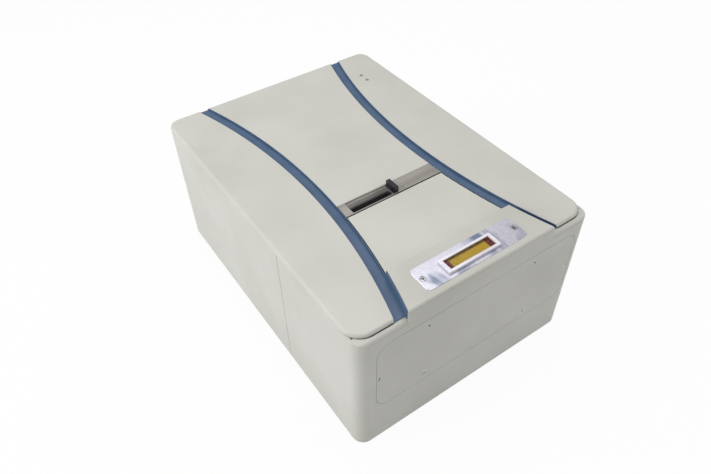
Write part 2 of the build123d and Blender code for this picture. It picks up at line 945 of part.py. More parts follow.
def usb_port():
    """Square data port with its contact tongue."""
    y1 = rear_inner + usb_proud
    y0 = y1 - usb_length
    shell = upright_slab(rear_face(usb_x, usb_width, usb_height), y0, y1)
    inside = rear_face(usb_x, usb_width - 2 * usb_wall, usb_height - 2 * usb_wall)
    shell -= upright_slab(inside, y0 + usb_back, y1)
    tongue = rear_face(usb_x, usb_tongue_width, usb_tongue_height)
    return shell + upright_slab(tongue, y0, y1 - usb_tongue_sink)


def bench_posts():
    top = bench_bottom - isolator_height
    return [post(x, y, post_radius, base_top, top) for x, y in bench_post_places()]


def bench_isolators():
    made = []
    for x, y in bench_post_places():
        pad = post(x, y, isolator_radius, bench_bottom - isolator_height, bench_bottom)
        groove = Pos(x, y, bench_bottom - isolator_height / 2) * Torus(isolator_radius, isolator_groove)
        made.append(pad - groove)
    return made


def optical_bench():
    """Cast plate with a grid of pockets on its underside."""
    plate = slab(RectangleRounded(bench_width, bench_depth, bench_corner), bench_bottom, bench_top)
    cell_x = bench_width / bench_columns
    cell_y = bench_depth / bench_rows
    for i in range(bench_columns):
        for j in range(bench_rows):
            x = (i - (bench_columns - 1) / 2) * cell_x
            y = (j - (bench_rows - 1) / 2) * cell_y
            pocket = RectangleRounded(cell_x - 2 * bench_rib, cell_y - 2 * bench_rib, bench_rib)
            plate -= slab(Pos(x, y) * pocket, bench_bottom, bench_top - bench_skin)
    for x, y in bench_post_places():
        plate += post(x, y, isolator_radius, bench_bottom, bench_top)
    return plate


def stem(x, y, top):
    """Round post with a foot, from the bench up to a mount."""
    foot = post(x, y, stem_foot_radius, bench_top, bench_top + stem_foot_height)
    return foot + post(x, y, stem_radius, bench_top, top)


def level(x, y, angle):
    """A place on the beam whose axis is level and turned by an angle from +X."""
    direction = (math.cos(math.radians(angle)), math.sin(math.radians(angle)), 0)
    return Plane(origin=(x, y, beam_z), z_dir=direction).location


def hollow_mirror(x, y, angle):
    """One-piece turned mirror on its post: the hollow face looks along the angle."""
    head = Pos(0, 0, -mirror_thickness / 2) * Cylinder(mirror_radius, mirror_thickness)
    head -= Pos(0, 0, mirror_sphere - mirror_sag) * Sphere(mirror_sphere)
    back = mirror_thickness / 2 + mirror_sag
    foot_x = x - back * math.cos(math.radians(angle))
    foot_y = y - back * math.sin(math.radians(angle))
    return level(x, y, angle) * head + stem(foot_x, foot_y, beam_z - mirror_radius + stem_bite)


def beamsplitter():
    return level(splitter_x, arm_y, 45) * Cylinder(splitter_radius, splitter_sheet)


def beamsplitter_mount():
    """Ring that holds the beamsplitter plate against a shoulder."""
    ring = Cylinder(splitter_ring, splitter_ring_sheet) - Cylinder(splitter_seat, splitter_ring_sheet)
    seat = (splitter_ring_sheet + splitter_sheet) / 2
    ring -= Pos(0, 0, (splitter_ring_sheet - seat) / 2) * Cylinder(splitter_radius + screw_fit, seat)
    return level(splitter_x, arm_y, 45) * ring + stem(splitter_x, arm_y, beam_z - splitter_ring + stem_bite)


def fixed_mirror():
    return rod((splitter_x, fixed_mirror_y, beam_z), (0, -1, 0), plane_mirror_radius, plane_mirror_sheet)


def fixed_mirror_mount():
    """Two plates held apart by three adjusting screws, on a foot."""
    half = mount_plate / 2
    y1 = fixed_mirror_y - plane_mirror_sheet
    y2 = y1 - mount_sheet
    y3 = y2 - mount_gap
    y4 = y3 - mount_sheet
    x0 = splitter_x - half
    x1 = splitter_x + half
    mount = box(x0, x1, y2, y1, beam_z - half, beam_z + half)
    mount += box(x0, x1, y4, y3, bench_top, beam_z + half)
    mount += box(x0, x1, y4 - mount_gap, y2, bench_top, bench_top + stem_foot_height)
    for sx, sz in ((-1, -1), (-1, 1), (1, 1)):
        start = (splitter_x + sx * adjuster_spread, y1, beam_z + sz * adjuster_spread)
        mount += rod(start, (0, -1, 0), adjuster_radius, adjuster_length)
    return mount


def moving_mirror():
    return rod((moving_mirror_x, arm_y, beam_z), (1, 0, 0), plane_mirror_radius, plane_mirror_sheet)


def mirror_carriage():
    """Sliding block that straddles the rail, with the upright that holds the mirror and coil."""
    half = upright_width / 2
    gap = rail_width / 2 + carriage_gap
    x1 = carriage_x + carriage_length
    z0 = rail_top - rail_height + carriage_lift
    z1 = z0 + carriage_height
    block = box(carriage_x, x1, arm_y - half, arm_y + half, z0, z1)
    block -= box(carriage_x, x1, arm_y - gap, arm_y + gap, z0, rail_top + carriage_gap)
    x2 = upright_x + upright_sheet
    return block + box(upright_x, x2, arm_y - half, arm_y + half, z1, beam_z + upright_top)


def voice_coil():
    start = (upright_x + upright_sheet, arm_y, beam_z)
    coil = rod(start, (1, 0, 0), coil_radius, coil_length)
    return coil - rod(start, (1, 0, 0), coil_radius - coil_wall, coil_length)


def voice_coil_magnet():
    """Magnet cup with its core, on a stand behind the carriage."""
    start = (upright_x + upright_sheet + coil_length - magnet_lap, arm_y, beam_z)
    cup = rod(start, (1, 0, 0), magnet_radius, magnet_length)
    gap = rod(start, (1, 0, 0), magnet_bore, magnet_length - magnet_base)
    gap -= rod(start, (1, 0, 0), magnet_core, magnet_length - magnet_base)
    x1 = start[0] + magnet_length
    half = upright_width / 2
    stand = box(x1 - magnet_stand, x1, arm_y - half, arm_y + half, bench_top, beam_z - magnet_stand_drop)
    return cup - gap + stand


def carriage_rail():
    """Straight rail on a pedestal, as long as the carriage and its travel."""
    x0 = carriage_x - mirror_travel - rail_margin
    x1 = carriage_x + carriage_length + mirror_travel + rail_margin
    z0 = rail_top - rail_height
    pedestal = box(x0, x1, arm_y - pedestal_width / 2, arm_y + pedestal_width / 2, bench_top, z0)
    return pedestal + box(x0, x1, arm_y - rail_width / 2, arm_y + rail_width / 2, z0, rail_top)


def source_housing():
    """Block with cooling fins at its back and a bore for the glowing element."""
    x0 = source_x - source_width / 2
    x1 = source_x + source_width / 2
    y0 = source_y - source_depth / 2
    top = beam_z + source_top
    block = box(x0, x1, y0, y0 + source_depth, bench_top, top)
    pitch = source_depth / fin_count
    half = fin_gap / 2
    for i in range(1, fin_count):
        y = y0 + i * pitch
        block -= box(x0, x0 + fin_length, y - half, y + half, bench_top + stem_foot_height, top)
    return block - rod((x1, source_y, beam_z), (-1, 0, 0), source_bore, source_bore_length)


def source_element():
    """Glowing rod on the round base that closes the bore."""
    start = (source_x + source_width / 2 - source_bore_length, source_y, beam_z)
    base = rod(start, (1, 0, 0), element_base, element_base_sheet)
    return base + rod(start, (1, 0, 0), element_radius, element_base_sheet + element_length)


def reference_laser():
    """Laser tube that shines along +X."""
    tube = rod((laser_start, laser_y, beam_z), (1, 0, 0), laser_radius, laser_length)
    tube = chamfer(tube.edges().filter_by(GeomType.CIRCLE), laser_bevel)
    return tube - rod((laser_start + laser_length, laser_y, beam_z), (-1, 0, 0), laser_eye, laser_eye_depth)


def laser_clamps():
    made = []
    half = clamp_width / 2
    middle = laser_start + laser_length / 2
    top = beam_z + laser_radius + clamp_cap
    for side in (-1, 1):
        x0 = middle + side * clamp_spacing / 2 - clamp_sheet / 2
        clamp = box(x0, x0 + clamp_sheet, laser_y - half, laser_y + half, bench_top, top)
        made.append(clamp - rod((x0, laser_y, beam_z), (1, 0, 0), laser_radius + laser_fit, clamp_sheet))
    return made


def laser_fold_mirror():
    """Small flat mirror that turns the laser into the beam, on a thin post."""
    plate = level(splitter_x, laser_y, 225) * Pos(0, 0, -fold_sheet / 2) * Cylinder(fold_radius, fold_sheet)
    back = fold_sheet / 2 * math.cos(math.radians(45))
    x = splitter_x + back
    y = laser_y + back
    foot = post(x, y, stem_radius, bench_top, bench_top + stem_foot_height)
    return plate + foot + post(x, y, fold_stem, bench_top, beam_z - fold_radius + fold_sheet)


def laser_detector():
    """Small photodiode in the middle of the beam, on a thin post."""
    half = laser_detector_size / 2
    x = laser_detector_x
    board = box(x - board_sheet, x, arm_y - half, arm_y + half, beam_z - half, beam_z + half)
    board += rod((x, arm_y, beam_z), (1, 0, 0), laser_detector_eye, laser_detector_eye_length)
    foot = post(x - fold_stem, arm_y, stem_radius, bench_top, bench_top + stem_foot_height)
    return board + foot + post(x - fold_stem, arm_y, fold_stem, bench_top, beam_z)


def infrared_detector():
    """Detector in its round can, on the preamplifier box."""
    start = (detector_x, detector_mirror_y, beam_z)
    can = rod(start, (1, 0, 0), detector_radius, detector_length)
    can -= rod(start, (1, 0, 0), detector_window, detector_window_depth)
    x = detector_x + detector_length / 2
    y = detector_mirror_y
    half_x = detector_box_x / 2
    half_y = detector_box_y / 2
    top = bench_top + detector_box_z
    case = box(x - half_x, x + half_x, y - half_y, y + half_y, bench_top, top)
    half = detector_neck / 2
    return can + case + box(x - half, x + half, y - half, y + half, top, beam_z - half)


def desiccant_cartridge():
    """Drying cartridge with a ring of holes in its cap."""
    z1 = bench_top + desiccant_height
    z2 = z1 + desiccant_cap
    can = post(desiccant_x, desiccant_y, desiccant_radius, bench_top, z1)
    cap = post(desiccant_x, desiccant_y, desiccant_radius + desiccant_cap_lap, z1, z2)
    cap = fillet(cap.edges().sort_by(Axis.Z)[-1], desiccant_cap_lap)
    for i in range(desiccant_holes):
        angle = math.tau * i / desiccant_holes
        x = desiccant_x + desiccant_hole_circle * math.cos(angle)
        y = desiccant_y + desiccant_hole_circle * math.sin(angle)
        cap -= post(x, y, desiccant_hole_radius, z1 + desiccant_cap / 2, z2)
    return can + cap


def power_supply():
    """Switched supply in a folded case with a row of slots in its lid."""
    x0 = supply_x - supply_width / 2
    x1 = supply_x + supply_width / 2
    y0 = supply_y - supply_length / 2
    top = base_top + supply_height
    half = supply_slot_width / 2
    margin = supply_slot_margin
    case = box(x0, x1, y0, y0 + supply_length, base_top, top)
    for i in range(supply_slots):
        y = y0 + supply_length * (i + 1) / (supply_slots + 1)
        case -= box(x0 + margin, x1 - margin, y - half, y + half, top - supply_sheet, top)
    return case


def laser_supply():
    x = laser_supply_width / 2
    y = laser_supply_length / 2
    face = field(laser_supply_x - x, laser_supply_x + x, laser_supply_y - y, laser_supply_y + y)
    case = slab(face, base_top, base_top + laser_supply_height)
    return chamfer(case.faces().sort_by(Axis.Z)[-1].edges(), laser_supply_bevel)


def board_standoffs():
    x = main_board_width / 2 - standoff_inset
    y = main_board_length / 2 - standoff_inset
    places = [(main_board_x + sx * x, main_board_y + sy * y) for sx in (-1, 1) for sy in (-1, 0, 1)]
    return [post(px, py, standoff_radius, base_top, base_top + standoff_height) for px, py in places]


def main_board():
    """Circuit board with its chips, sockets and heat sink."""
    z0 = base_top + standoff_height
    z1 = z0 + board_sheet
    x0 = main_board_x - main_board_width / 2
    y0 = main_board_y - main_board_length / 2
    board = box(x0, x0 + main_board_width, y0, y0 + main_board_length, z0, z1)
    for u, v, width, length, height in board_blocks:
        place = Pos(x0 + u * main_board_width, y0 + v * main_board_length, z1 + height / 2)
        board += place * Box(width, length, height)
    sink = Pos(x0 + sink_across * main_board_width, y0 + sink_along * main_board_length, z1)
    board += sink * Pos(0, 0, sink_base / 2) * Box(sink_width, sink_length, sink_base)
    pitch = (sink_width - sink_fin_sheet) / (sink_fins - 1)
    for i in range(sink_fins):
        x = (i - (sink_fins - 1) / 2) * pitch
        board += sink * Pos(x, 0, sink_height / 2) * Box(sink_fin_sheet, sink_length, sink_height)
    return board


def pieces():
    return {
        "front_housing": front_housing(),
        "rear_housing": rear_housing(),
        "base_plate": base_plate(),
        "base_screws": base_screws(),
        "rubber_feet": rubber_feet(),
        "foot_screws": foot_screws(),
        "top_cover": top_cover(),
        "left_trim_strip": trim_strip(-1),
        "right_trim_strip": trim_strip(1),
        "front_centre_panel": front_centre_panel(),
        "slot_bezel_plate": slot_bezel_plate(),
        "bezel_rivet": bezel_rivet(),
        "slot_frame": slot_frame(),
        "shutter": shutter(),
        "sample_well": sample_well(),
        "card_guides": card_guides(),
        "front_access_panel": front_access_panel(),
        "access_panel_screws": access_panel_screws(),
        "display_plate": display_plate(),
        "display_plate_screws": display_plate_screws(),
        "display_bezel": display_bezel(),
        "display_window": display_window(),
        "display_glass": display_glass(),
        "display_board": display_board(),
        "status_lights": status_lights(),
        "status_board": status_board(),
        "rear_panel": rear_panel(),
        "rear_panel_screws": rear_panel_screws(),
        "power_inlet": power_inlet(),
        "inlet_pins": inlet_pins(),
        "switch_frame": switch_frame(),
        "switch_rocker": switch_rocker(),
        "usb_port": usb_port(),
        "optical_bench": optical_bench(),
        "bench_posts": bench_posts(),
        "bench_isolators": bench_isolators(),
        "source_housing": source_housing(),
        "source_element": source_element(),
        "collimating_mirror": hollow_mirror(splitter_x, source_y, 225),
        "beamsplitter": beamsplitter(),
        "beamsplitter_mount": beamsplitter_mount(),
        "fixed_mirror": fixed_mirror(),
        "fixed_mirror_mount": fixed_mirror_mount(),
        "moving_mirror": moving_mirror(),
        "mirror_carriage": mirror_carriage(),
        "voice_coil": voice_coil(),
        "voice_coil_magnet": voice_coil_magnet(),
        "carriage_rail": carriage_rail(),
        "reference_laser": reference_laser(),
        "laser_clamps": laser_clamps(),
        "laser_fold_mirror": laser_fold_mirror(),
        "laser_detector": laser_detector(),
        "sample_mirror": hollow_mirror(opening_x, arm_y, -45),
        "detector_mirror": hollow_mirror(opening_x, detector_mirror_y, 45),
        "infrared_detector": infrared_detector(),
        "desiccant_cartridge": desiccant_cartridge(),
        "power_supply": power_supply(),
        "laser_supply": laser_supply(),
        "main_board": main_board(),
        "board_standoffs": board_standoffs(),
    }


def write(name, shape):
    """One file for each piece: a list of like solids becomes one group."""
    if isinstance(shape, list):
        shape = Compound(children=[solid for item in shape for solid in item.solids()])
    export_step(shape, os.path.join("parts", name + ".step"))


os.makedirs("parts", exist_ok=True)
for piece_name, piece_shape in pieces().items():
    write(piece_name, piece_shape)
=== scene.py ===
import math

import bpy
from mathutils import Matrix, Vector


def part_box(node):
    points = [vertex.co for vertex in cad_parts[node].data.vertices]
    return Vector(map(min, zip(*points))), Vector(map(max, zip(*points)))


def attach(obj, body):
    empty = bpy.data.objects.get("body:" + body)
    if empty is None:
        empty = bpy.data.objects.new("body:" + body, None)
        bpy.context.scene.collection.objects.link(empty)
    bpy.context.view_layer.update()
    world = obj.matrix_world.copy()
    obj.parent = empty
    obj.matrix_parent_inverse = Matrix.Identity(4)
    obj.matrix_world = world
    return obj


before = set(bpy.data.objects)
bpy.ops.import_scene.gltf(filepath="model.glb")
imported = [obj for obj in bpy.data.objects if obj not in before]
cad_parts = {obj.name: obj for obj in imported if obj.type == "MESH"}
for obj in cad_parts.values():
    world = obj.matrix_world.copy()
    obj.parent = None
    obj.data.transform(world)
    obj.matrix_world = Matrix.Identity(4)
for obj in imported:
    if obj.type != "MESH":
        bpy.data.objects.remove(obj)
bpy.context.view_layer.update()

# Noise mostly lies between these two values, so they map to the ends of a range.
NOISE_LOW = 0.3
NOISE_HIGH = 0.7

def srgb(r, g, b):
    """Linear colour from 0-255 display values."""
    out = []
    for value in (r, g, b):
        c = value / 255.0
        out.append(c / 12.92 if c <= 0.04045 else ((c + 0.055) / 1.055) ** 2.4)
    return (out[0], out[1], out[2], 1.0)


class Graph:
    """Small helper around a material's node tree."""

    def __init__(self, name):
        self.material = bpy.data.materials.new(name)
        self.material.use_nodes = True
        self.tree = self.material.node_tree
        self.tree.nodes.clear()
        self.out = self.add("ShaderNodeOutputMaterial")

    def add(self, kind, **settings):
        node = self.tree.nodes.new(kind)
        for key, value in settings.items():
            setattr(node, key, value)
        return node

    def link(self, source, target):
        self.tree.links.new(source, target)

    def coords(self, scale):
        coord = self.add("ShaderNodeTexCoord")
        mapping = self.add("ShaderNodeMapping")
        mapping.inputs["Scale"].default_value = scale
        self.link(coord.outputs["Object"], mapping.inputs["Vector"])
        return mapping.outputs["Vector"]

    def noise(self, scale, detail=3.0, stretch=(1.0, 1.0, 1.0), distortion=0.0):
        node = self.add("ShaderNodeTexNoise")
        node.inputs["Scale"].default_value = scale
        node.inputs["Detail"].default_value = detail
        node.inputs["Distortion"].default_value = distortion
        self.link(self.coords(stretch), node.inputs["Vector"])
        return node.outputs["Fac"]

    def ramp(self, value, low, high, out_low=0.0, out_high=1.0):
        node = self.add("ShaderNodeMapRange", clamp=True)
        node.inputs["From Min"].default_value = low
        node.inputs["From Max"].default_value = high
        node.inputs["To Min"].default_value = out_low
        node.inputs["To Max"].default_value = out_high
        self.link(value, node.inputs["Value"])
        return node.outputs["Result"]

    def mix(self, factor, a, b):
        node = self.add("ShaderNodeMix", data_type="RGBA")
        for socket, value in ((node.inputs[6], a), (node.inputs[7], b)):
            if isinstance(value, tuple):
                socket.default_value = value
            else:
                self.link(value, socket)
        self.link(factor, node.inputs[0])
        return node.outputs[2]

    def math(self, operation, a, b):
        node = self.add("ShaderNodeMath", operation=operation)
        for socket, value in ((node.inputs[0], a), (node.inputs[1], b)):
            if isinstance(value, (int, float)):
                socket.default_value = value
            else:
                self.link(value, socket)
        return node.outputs[0]

    def bump(self, height, distance):
        node = self.add("ShaderNodeBump")
        node.inputs["Distance"].default_value = distance
        self.link(height, node.inputs["Height"])
        return node.outputs["Normal"]


def surface(name, dark, light, tone_scale, rough, metallic=0.0, grain=None, stretch=(1.0, 1.0, 1.0),
            bump_mm=0.0, coat=0.0, distortion=0.0, detail=3.0, spread=(0.35, 0.65)):
    """Principled surface whose colour and gloss drift a little, with a fine grain in relief."""
    g = Graph(name)
    shader = g.add("ShaderNodeBsdfPrincipled")
    tone = g.noise(tone_scale, detail=detail, stretch=stretch, distortion=distortion)
    g.link(g.mix(g.ramp(tone, spread[0], spread[1]), dark, light), shader.inputs["Base Color"])
    fine = grain or tone_scale * 4.0
    gloss = g.noise(fine, stretch=stretch)
    g.link(g.ramp(gloss, NOISE_LOW, NOISE_HIGH, rough[0], rough[1]), shader.inputs["Roughness"])
    shader.inputs["Metallic"].default_value = metallic
    shader.inputs["Coat Weight"].default_value = coat
    if bump_mm > 0.0:
        relief = g.noise(fine, detail=2.0, stretch=stretch)
        g.link(g.bump(relief, bump_mm / 1000.0), shader.inputs["Normal"])
    g.link(shader.outputs["BSDF"], g.out.inputs["Surface"])
    return g.material


def shaded_beyond(base, name, axis, start, end, shade, amount=1.0):
    """Copy of a material with painted shade: its colour turns darker past a place along one axis."""
    material = base.copy()
    material.name = name
    tree = material.node_tree
    shader = next(node for node in tree.nodes if node.type == "BSDF_PRINCIPLED")
    colour = shader.inputs["Base Color"].links[0].from_socket
    coord = tree.nodes.new("ShaderNodeTexCoord")
    split = tree.nodes.new("ShaderNodeSeparateXYZ")
    tree.links.new(coord.outputs["Object"], split.inputs["Vector"])
    reach = tree.nodes.new("ShaderNodeMapRange")
    reach.clamp = True
    reach.inputs["From Min"].default_value = start
    reach.inputs["From Max"].default_value = end
    reach.inputs["To Max"].default_value = amount
    tree.links.new(split.outputs[axis], reach.inputs["Value"])
    mixed = tree.nodes.new("ShaderNodeMix")
    mixed.data_type = "RGBA"
    tree.links.new(reach.outputs["Result"], mixed.inputs[0])
    tree.links.new(colour, mixed.inputs[6])
    mixed.inputs[7].default_value = shade
    tree.links.new(mixed.outputs[2], shader.inputs["Base Color"])
    return material


def window_material():
    """Thin clear sheet with a weak reflection."""
    g = Graph("window_clear")
    clear = g.add("ShaderNodeBsdfTransparent")
    gloss = g.add("ShaderNodeBsdfGlossy")
    haze = g.ramp(g.noise(120.0), NOISE_LOW, NOISE_HIGH, 0.02, 0.08)
    g.link(haze, gloss.inputs["Roughness"])
    tint = g.mix(g.noise(25.0), (0.97, 0.97, 0.98, 1.0), (0.93, 0.94, 0.95, 1.0))
    g.link(tint, clear.inputs["Color"])
    edge = g.add("ShaderNodeFresnel")
    weak_reflection = 1.16
    edge.inputs["IOR"].default_value = weak_reflection
    joined = g.add("ShaderNodeMixShader")
    g.link(edge.outputs["Fac"], joined.inputs[0])
    g.link(clear.outputs["BSDF"], joined.inputs[1])
    g.link(gloss.outputs["BSDF"], joined.inputs[2])
    g.link(joined.outputs["Shader"], g.out.inputs["Surface"])
    return g.material


def display_material():
    """Lit amber field between two dark red ends, with a darker line along the rear edge."""
    low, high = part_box("display_glass")
    g = Graph("display_amber")
    shader = g.add("ShaderNodeBsdfPrincipled")
    coord = g.add("ShaderNodeTexCoord")
    split = g.add("ShaderNodeSeparateXYZ")
    g.link(coord.outputs["Object"], split.inputs["Vector"])
    middle = (low.x + high.x) / 2
    lit_half = 0.0270
    soft_edge = 0.0006
    line_front = 0.0034
    line_rear = 0.0016
    away = g.math("ABSOLUTE", g.math("SUBTRACT", split.outputs["X"], middle), 0.0)
    end = g.ramp(away, lit_half - soft_edge, lit_half + soft_edge)
    rear = g.ramp(split.outputs["Y"], high.y - line_front, high.y - line_rear)
    field = g.mix(g.noise(30.0, distortion=0.4), srgb(186, 152, 8), srgb(162, 132, 4))
    field = g.mix(rear, field, srgb(104, 76, 10))
    ends = g.mix(g.noise(60.0), srgb(106, 22, 12), srgb(82, 13, 9))
    colour = g.mix(end, field, ends)
    g.link(colour, shader.inputs["Base Color"])
    g.link(colour, shader.inputs["Emission Color"])
    shader.inputs["Emission Strength"].default_value = 0.25
    g.link(g.ramp(g.noise(200.0), NOISE_LOW, NOISE_HIGH, 0.25, 0.4), shader.inputs["Roughness"])
    g.link(shader.outputs["BSDF"], g.out.inputs["Surface"])
    return g.material


paint = surface("housing_paint", srgb(202, 201, 193), srgb(209, 208, 201), tone_scale=9.0,
                rough=(0.34, 0.44), grain=1400.0, bump_mm=0.006)
side_paint = surface("side_paint", srgb(196, 195, 187), srgb(205, 204, 197), tone_scale=9.0,
                     rough=(0.36, 0.46), grain=1400.0, bump_mm=0.006)
blue = surface("trim_blue", srgb(72, 97, 128), srgb(84, 108, 138), tone_scale=30.0, rough=(0.38, 0.5),
               grain=900.0, bump_mm=0.004)
slot_metal = surface("slot_metal", srgb(150, 147, 140), srgb(170, 167, 159), tone_scale=40.0,
                     rough=(0.34, 0.44), metallic=0.4, grain=400.0, stretch=(0.2, 1.5, 1.0),
                     bump_mm=0.002)
well_metal = surface("well_metal", srgb(228, 223, 220), srgb(242, 238, 234), tone_scale=50.0,
                     rough=(0.3, 0.45), metallic=0.0, grain=300.0, stretch=(1.0, 1.0, 0.3),
                     bump_mm=0.004)
# Painted reflection: the dark blue-grey streaks mixed into the plate's light colour stand for reflections
# of the surroundings.
plate_painted_reflection = surface("polished_plate", srgb(118, 130, 154), srgb(208, 206, 218), tone_scale=24.0,
                   rough=(0.2, 0.32), metallic=0.45, grain=220.0, stretch=(1.0, 0.45, 1.0),
                   distortion=1.4, detail=2.0, bump_mm=0.01, spread=(0.34, 0.46))
white = surface("bezel_white", srgb(226, 222, 234), srgb(240, 238, 244), tone_scale=40.0,
                rough=(0.12, 0.22), grain=500.0, coat=0.3)
amber = display_material()
clear = window_material()
tab_black = surface("tab_black", srgb(22, 22, 28), srgb(38, 38, 46), tone_scale=60.0,
                    rough=(0.22, 0.36), grain=700.0, bump_mm=0.004)
black = surface("black_plastic", srgb(20, 20, 21), srgb(34, 34, 35), tone_scale=80.0,
                rough=(0.4, 0.55), grain=1200.0, bump_mm=0.01)
screw = surface("screw_steel", srgb(150, 150, 152), srgb(206, 206, 208), tone_scale=200.0,
                rough=(0.2, 0.34), metallic=1.0, grain=900.0, bump_mm=0.003)
lens = surface("light_lens", srgb(124, 126, 126), srgb(146, 148, 148), tone_scale=300.0,
               rough=(0.2, 0.3), coat=0.4)
board = surface("board_green", srgb(14, 66, 36), srgb(26, 88, 50), tone_scale=260.0, rough=(0.35, 0.5),
                grain=900.0, bump_mm=0.02)
rubber = surface("rubber_black", srgb(24, 24, 24), srgb(38, 38, 38), tone_scale=120.0,
                 rough=(0.7, 0.85), grain=1500.0, bump_mm=0.03)
zinc = surface("zinc_sheet", srgb(160, 162, 164), srgb(196, 198, 200), tone_scale=70.0,
               rough=(0.3, 0.45), metallic=0.9, grain=500.0, distortion=1.0, bump_mm=0.004)
cast = surface("cast_bench", srgb(140, 142, 144), srgb(168, 170, 172), tone_scale=60.0,
               rough=(0.45, 0.6), metallic=0.8, grain=700.0, bump_mm=0.03)
dark_metal = surface("machined_mount", srgb(52, 53, 56), srgb(76, 77, 80), tone_scale=90.0,
                     rough=(0.3, 0.45), metallic=0.6, grain=600.0, bump_mm=0.006)
gold = surface("gold_mirror", srgb(218, 176, 96), srgb(240, 204, 130), tone_scale=90.0,
               rough=(0.05, 0.14), metallic=1.0, grain=400.0)
salt = surface("splitter_plate", srgb(196, 190, 160), srgb(224, 220, 196), tone_scale=40.0,
               rough=(0.05, 0.12), coat=0.5)
copper = surface("copper_wire", srgb(150, 78, 42), srgb(190, 108, 62), tone_scale=60.0,
                 rough=(0.3, 0.4), metallic=0.9, grain=900.0, stretch=(8.0, 1.0, 1.0), bump_mm=0.05)
ceramic = surface("element_ceramic", srgb(196, 186, 172), srgb(220, 210, 196), tone_scale=150.0,
                  rough=(0.6, 0.8), grain=1200.0, bump_mm=0.02)
tube = surface("laser_tube", srgb(170, 172, 176), srgb(206, 208, 212), tone_scale=80.0,
               rough=(0.22, 0.34), metallic=0.9, grain=700.0, stretch=(0.1, 1.0, 1.0), bump_mm=0.004)

front_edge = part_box("front_access_panel")[0].y
rear_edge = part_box("rear_housing")[1].y
plate_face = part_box("display_plate")[1].z

# Painted shade: the recesses of the visible screws turn dark between these two depths.
RECESS_SHADE = srgb(16, 16, 18)
RECESS_TOP = 0.0001
RECESS_FULL = 0.0005
front_screw = shaded_beyond(screw, "front_screw", "Y", front_edge + RECESS_TOP,
                            front_edge + RECESS_FULL, RECESS_SHADE)
rear_screw = shaded_beyond(screw, "rear_screw", "Y", rear_edge - RECESS_TOP,
                           rear_edge - RECESS_FULL, RECESS_SHADE)
plate_screw = shaded_beyond(screw, "plate_screw", "Z", plate_face - RECESS_TOP,
                            plate_face - RECESS_FULL, RECESS_SHADE)

# Painted shade: the well's colour turns dark with depth, where little light reaches.
WELL_SHADE = srgb(28, 26, 40)
WELL_SHADE_TOP = 0.207
WELL_SHADE_FULL = 0.202
well_depth_shade = shaded_beyond(well_metal, "well_depth_shade", "Z", WELL_SHADE_TOP, WELL_SHADE_FULL, WELL_SHADE, 0.9)

# Painted shade: both housings are darker in the last millimetre beside their seam, where the gap lies in
# shade.
SEAM_BAND = 0.001
SEAM_SHADE = srgb(84, 82, 78)
SEAM_STRENGTH = 0.6
front_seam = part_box("front_housing")[1].y
rear_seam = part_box("rear_housing")[0].y
front_paint_seam_shade = shaded_beyond(side_paint, "front_paint_seam_shade", "Y", front_seam - SEAM_BAND,
                            front_seam - SEAM_BAND / 2, SEAM_SHADE, SEAM_STRENGTH)
rear_paint_seam_shade = shaded_beyond(side_paint, "rear_paint_seam_shade", "Y", rear_seam + SEAM_BAND,
                           rear_seam + SEAM_BAND / 2, SEAM_SHADE, SEAM_STRENGTH)

FINISH = {
    "front_housing": front_paint_seam_shade,
    "rear_housing": rear_paint_seam_shade,
    "top_cover": paint,
    "front_centre_panel": paint,
    "front_access_panel": side_paint,
    "left_trim_strip": blue,
    "right_trim_strip": blue,
    "slot_bezel_plate": slot_metal,
    "bezel_rivet": screw,
    "sample_well": well_depth_shade,
    "card_guides": well_metal,
    "display_plate": plate_painted_reflection,
    "display_plate_screws": plate_screw,
    "display_bezel": white,
    "display_window": clear,
    "display_glass": amber,
    "shutter": tab_black,
    "power_inlet": black,
    "switch_frame": black,
    "switch_rocker": black,
    "desiccant_cartridge": black,
    "access_panel_screws": front_screw,
    "rear_panel_screws": rear_screw,
    "base_screws": screw,
    "foot_screws": screw,
    "status_lights": lens,
    "display_board": board,
    "status_board": board,
    "main_board": board,
    "rubber_feet": rubber,
    "bench_isolators": rubber,
    "base_plate": zinc,
    "rear_panel": zinc,
    "usb_port": zinc,
    "inlet_pins": zinc,
    "power_supply": zinc,
    "laser_supply": zinc,
    "board_standoffs": zinc,
    "optical_bench": cast,
    "bench_posts": cast,
    "slot_frame": well_metal,
    "beamsplitter_mount": dark_metal,
    "fixed_mirror_mount": dark_metal,
    "mirror_carriage": dark_metal,
    "carriage_rail": dark_metal,
    "laser_clamps": dark_metal,
    "laser_fold_mirror": dark_metal,
    "laser_detector": dark_metal,
    "infrared_detector": dark_metal,
    "source_housing": dark_metal,
    "voice_coil_magnet": dark_metal,
    "collimating_mirror": gold,
    "sample_mirror": gold,
    "detector_mirror": gold,
    "fixed_mirror": gold,
    "moving_mirror": gold,
    "beamsplitter": salt,
    "voice_coil": copper,
    "source_element": ceramic,
    "reference_laser": tube,
}

for name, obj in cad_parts.items():
    obj.data.materials.clear()
    obj.data.materials.append(FINISH[name])


def round_cord(name, routes, radius, closed=False, finish=None):
    """Round cord along one or more routes of points, dark as painted gap shade unless a finish is given.
    """
    curve = bpy.data.curves.new(name, "CURVE")
    curve.dimensions = "3D"
    curve.bevel_depth = radius
    curve.bevel_resolution = 2
    for route in routes:
        spline = curve.splines.new("POLY")
        spline.points.add(len(route) - 1)
        for point, place in zip(spline.points, route):
            point.co = (*place, 1.0)
        spline.use_cyclic_u = closed
    piece = bpy.data.objects.new(name, curve)
    bpy.context.scene.collection.objects.link(piece)
    curve.materials.append(finish or painted_gap_shade)
    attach(piece, "instrument")


def arc_points(centre, radius, start, end, count):
    """Points on a circle between two angles in degrees."""
    points = []
    for i in range(count + 1):
        angle = math.radians(start + (end - start) * i / count)
        points.append((centre[0] + radius * math.cos(angle), centre[1] + radius * math.sin(angle)))
    return points
